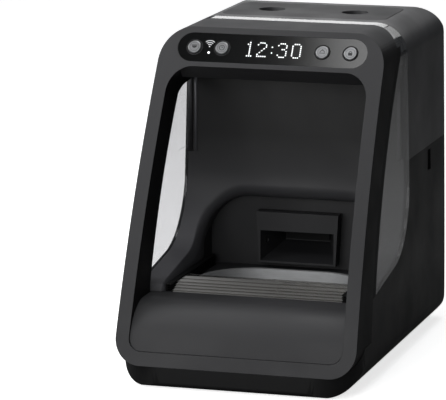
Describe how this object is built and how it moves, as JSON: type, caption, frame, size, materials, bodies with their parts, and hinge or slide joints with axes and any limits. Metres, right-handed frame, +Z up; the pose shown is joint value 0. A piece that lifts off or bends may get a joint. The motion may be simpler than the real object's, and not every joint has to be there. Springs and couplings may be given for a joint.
{
  "type": "microchip pet feeder",
  "caption": "Hooded pet feeder with tag reader ring, control panel, steel bowl under a sliding slatted shutter, and a lidded dry-food hopper feeding it by rotor and chute.",
  "frame": {"origin": "centre of the footprint, on the floor under the feet", "axes": "+Z up, +Y from the open front towards the back, +X towards the user's right when facing the front"},
  "size_m": [0.2486, 0.4, 0.342],
  "materials": {
    "frame_grey": "satin moulded graphite",
    "shell_black": "fine satin texture",
    "liner_black": "fine matt texture",
    "lid_grey": "satin",
    "lens_black": "polished",
    "clear_smoke": "polished, faint smoke tint",
    "slat_smoke": "semi-gloss, translucent dark",
    "bowl_steel": "brushed",
    "button_silver": "satin chrome",
    "rubber_black": "matt",
    "board_green": "solder mask",
    "coil_copper": "enamelled wire",
    "cell_jacket": "printed jacket, left plain",
    "motor_grey": "satin",
    "pin_steel": "turned",
    "gear_white": "acetal",
    "rotor_orange": "soft silicone",
    "bag_white": "non-woven",
    "led_white": "diffusing"
  },
  "bodies": {
    "housing": {"lower_shell": "shell_black", "base_plate": "shell_black", "rubber_feet": "rubber_black", "base_screws": "pin_steel", "front_frame": "frame_grey", "frame_back": "shell_black", "antenna_coil": "coil_copper", "front_apron": "frame_grey", "canopy": "clear_smoke", "inner_liner": "liner_black", "bay_housing": "liner_black", "upper_shell": "shell_black", "hopper": "clear_smoke", "rotor_housing": "liner_black", "chute": "liner_black", "feed_motor": "motor_grey", "bowl_deck": "liner_black", "food_bowl": "bowl_steel", "shutter_sill": "slat_smoke", "guide_rail_left": "liner_black", "guide_rail_right": "liner_black", "shutter_motor": "motor_grey", "panel_lens": "lens_black", "display_module": "lens_black", "panel_board": "board_green", "keypad": "rubber_black", "status_led": "led_white", "main_board": "board_green", "battery_box": "shell_black", "battery_cells": "cell_jacket", "battery_door": "shell_black", "dc_inlet": "lens_black", "food_sensor": "lens_black", "flap_pin": "pin_steel"},
    "lid": {"top_lid": "lid_grey", "lid_seal": "rubber_black", "desiccant_box": "gear_white", "desiccant_bag": "bag_white"},
    "button_a": {"button_1": "button_silver"},
    "button_b": {"button_2": "button_silver"},
    "button_c": {"button_3": "button_silver"},
    "button_d": {"button_4": "button_silver"},
    "slat_1": {"shutter_slat_1": "slat_smoke"},
    "slat_2": {"shutter_slat_2": "slat_smoke"},
    "slat_3": {"shutter_slat_3": "slat_smoke"},
    "slat_lead": {"shutter_slat_4": "slat_smoke", "shutter_rack": "gear_white"},
    "pinion": {"shutter_pinion": "gear_white"},
    "rotor": {"feed_rotor": "rotor_orange", "rotor_shaft": "pin_steel"},
    "flap": {"chute_flap": "liner_black"}
  },
  "joints": [
    {"name": "lid_lift", "type": "slide", "parent": "housing", "child": "lid", "axis": [0, 0, 1], "range_m": [0, 0.09]},
    {"name": "button_a_press", "type": "slide", "parent": "housing", "child": "button_a", "axis": [0, 0.8393, -0.5437], "range_m": [0, 0.001], "stiffness_N_per_m": 300, "springref_m": -0.001},
    {"name": "button_b_press", "type": "slide", "parent": "housing", "child": "button_b", "axis": [0, 0.8393, -0.5437], "range_m": [0, 0.001], "stiffness_N_per_m": 300, "springref_m": -0.001},
    {"name": "button_c_press", "type": "slide", "parent": "housing", "child": "button_c", "axis": [0, 0.8393, -0.5437], "range_m": [0, 0.001], "stiffness_N_per_m": 300, "springref_m": -0.001},
    {"name": "button_d_press", "type": "slide", "parent": "housing", "child": "button_d", "axis": [0, 0.8393, -0.5437], "range_m": [0, 0.001], "stiffness_N_per_m": 300, "springref_m": -0.001},
    {"name": "shutter_close", "type": "slide", "parent": "housing", "child": "slat_lead", "axis": [0, 1, 0], "range_m": [-0.0224, 0.0926]},
    {"name": "slat_1_slide", "type": "slide", "parent": "housing", "child": "slat_1", "axis": [0, 1, 0], "range_m": [-0.0058, 0.02335]},
    {"name": "slat_2_slide", "type": "slide", "parent": "housing", "child": "slat_2", "axis": [0, 1, 0], "range_m": [-0.0114, 0.0465]},
    {"name": "slat_3_slide", "type": "slide", "parent": "housing", "child": "slat_3", "axis": [0, 1, 0], "range_m": [-0.017, 0.06965]},
    {"name": "pinion_turn", "type": "hinge", "parent": "housing", "child": "pinion", "pos_m": [0.1031, -0.032, 0.066], "axis": [-1, 0, 0], "range_deg": [-184, 759]},
    {"name": "rotor_turn", "type": "hinge", "parent": "housing", "child": "rotor", "pos_m": [0, 0.105, 0.165], "axis": [1, 0, 0], "continuous": true},
    {"name": "flap_swing", "type": "hinge", "parent": "housing", "child": "flap", "pos_m": [0, 0.079, 0.1186], "axis": [-1, 0, 0], "range_deg": [0, 60]}
  ],
  "couplings": [
    {"joint": "slat_1_slide", "follows": "shutter_close", "ratio": 0.25},
    {"joint": "slat_2_slide", "follows": "shutter_close", "ratio": 0.5},
    {"joint": "slat_3_slide", "follows": "shutter_close", "ratio": 0.75},
    {"joint": "pinion_turn", "follows": "shutter_close", "rad_per_m": 142.86}
  ]
}
